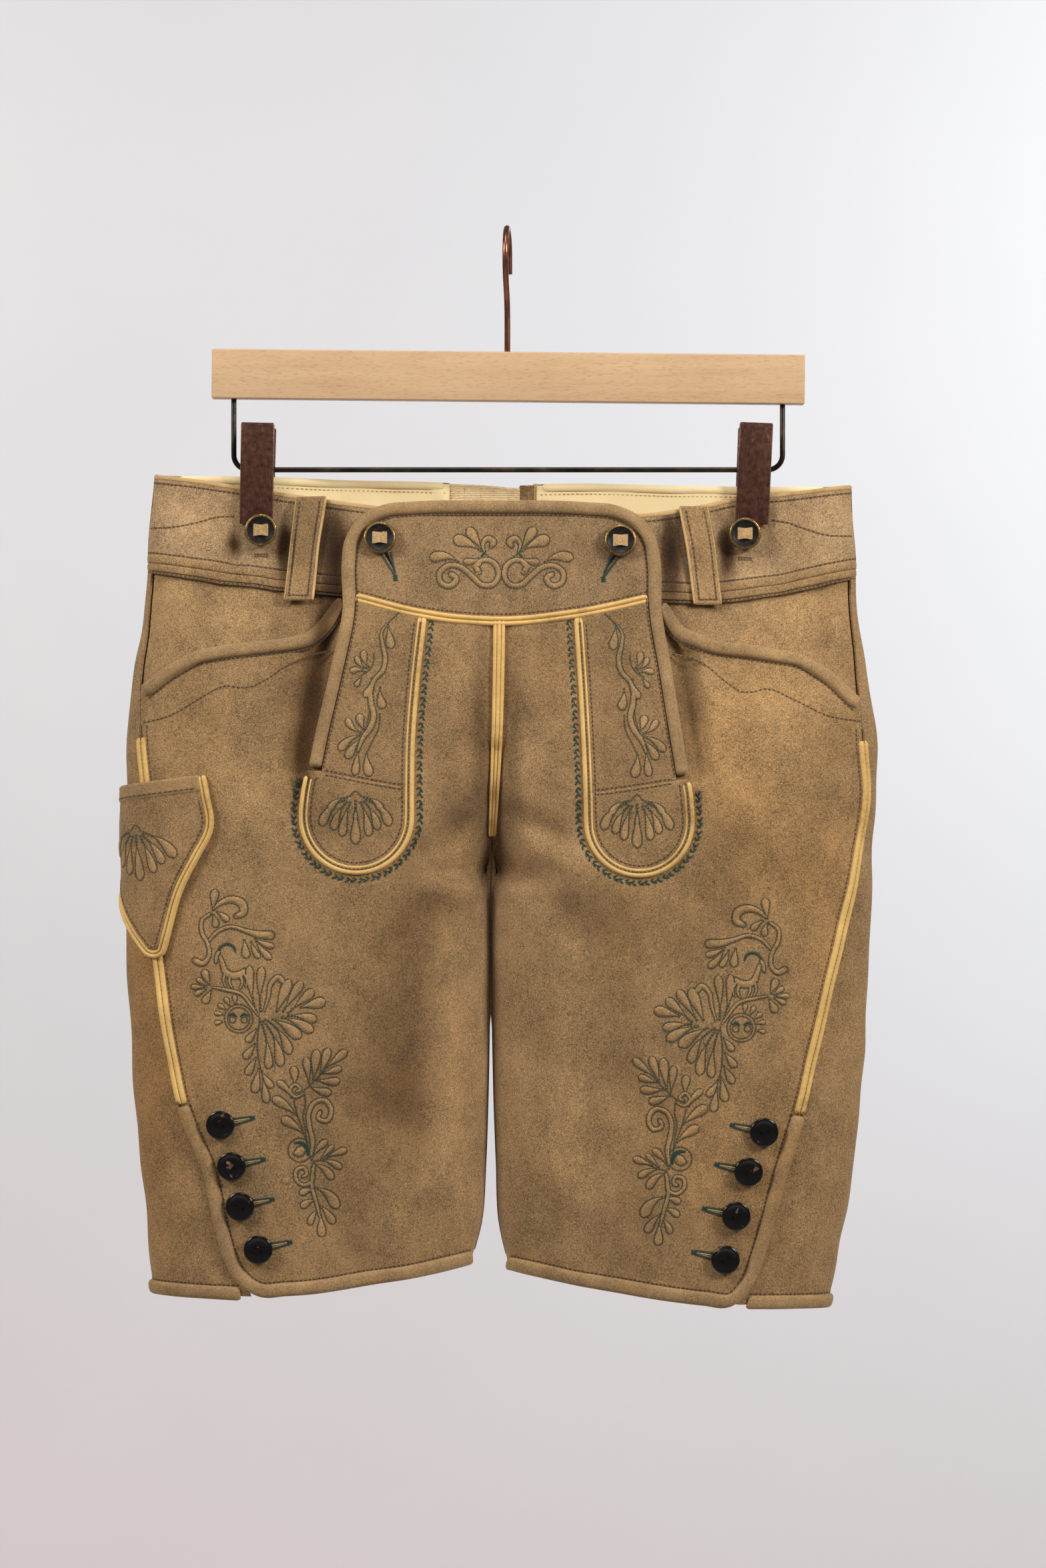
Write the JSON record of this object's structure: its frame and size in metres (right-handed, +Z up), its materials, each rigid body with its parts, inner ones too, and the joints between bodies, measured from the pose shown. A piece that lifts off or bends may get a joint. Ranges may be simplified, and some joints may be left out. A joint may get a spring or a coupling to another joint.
{
  "type": "lederhosen on clip hanger",
  "caption": "Short suede breeches with a buttoned drop front, slant pockets and knife pocket, hanging flat from a wooden clip hanger.",
  "frame": {"origin": "inside of the hook's crown, where the hanger rests on a rail", "axes": "+Z up, the front of the breeches faces -Y, +X to the right of someone who looks at the front"},
  "size_m": [0.4885, 0.0797, 0.6972],
  "materials": {
    "suede": "napped deer suede, mottled olive brown with a darker patina",
    "binding": "lighter napped suede, folded and stitched",
    "piping": "straw yellow split leather cord, stitched",
    "facing": "cream twill facing",
    "rib_knit": "cream ribbed cord",
    "horn": "polished dark horn",
    "rimmed_horn": "dark horn core with a turned amber and brass coloured rim",
    "beech": "satin lacquered beech",
    "bronze": "dark bronze finish, satin",
    "antique_copper": "hammered antique copper finish, worn at the edges",
    "copper": "copper plated wire, bright"
  },
  "bodies": {
    "root": {"adjuster_lap": "suede", "adjuster_loops": "rib_knit", "adjuster_tab": "rib_knit", "back_hem_binding_left": "binding", "back_hem_binding_right": "binding", "back_left": "suede", "back_right": "suede", "belt_loop_left": "suede", "belt_loop_right": "suede", "brace_button_left": "rimmed_horn", "brace_button_right": "rimmed_horn", "centre_piping": "piping", "clip_left_back": "antique_copper", "clip_left_front": "antique_copper", "clip_right_back": "antique_copper", "clip_right_front": "antique_copper", "flap_binding": "binding", "flap_button_left": "rimmed_horn", "flap_button_right": "rimmed_horn", "flap_lobe_left": "suede", "flap_lobe_right": "suede", "flap_panel_left": "suede", "flap_panel_right": "suede", "flap_strip_left": "suede", "flap_strip_right": "suede", "flap_yoke": "suede", "front_left": "suede", "front_right": "suede", "hanger_bar": "beech", "hanger_hook": "copper", "hanger_wire": "bronze", "knife_pocket": "suede", "knife_pocket_band": "binding", "knife_pocket_piping": "piping", "leg_button_left_1": "horn", "leg_button_left_2": "horn", "leg_button_left_3": "horn", "leg_button_left_4": "horn", "leg_button_right_1": "horn", "leg_button_right_2": "horn", "leg_button_right_3": "horn", "leg_button_right_4": "horn", "placket_binding_left": "binding", "placket_binding_right": "binding", "pocket_edge_left": "binding", "pocket_edge_right": "binding", "pocket_facing_left": "suede", "pocket_facing_right": "suede", "side_piping_left": "piping", "side_piping_right": "piping", "strip_piping_left": "piping", "strip_piping_right": "piping", "waist_facing_left": "facing", "waist_facing_right": "facing", "waistband_back_left": "suede", "waistband_back_right": "suede", "waistband_front_left": "suede", "waistband_front_right": "suede", "yoke_piping": "piping"}
  },
  "joints": []
}
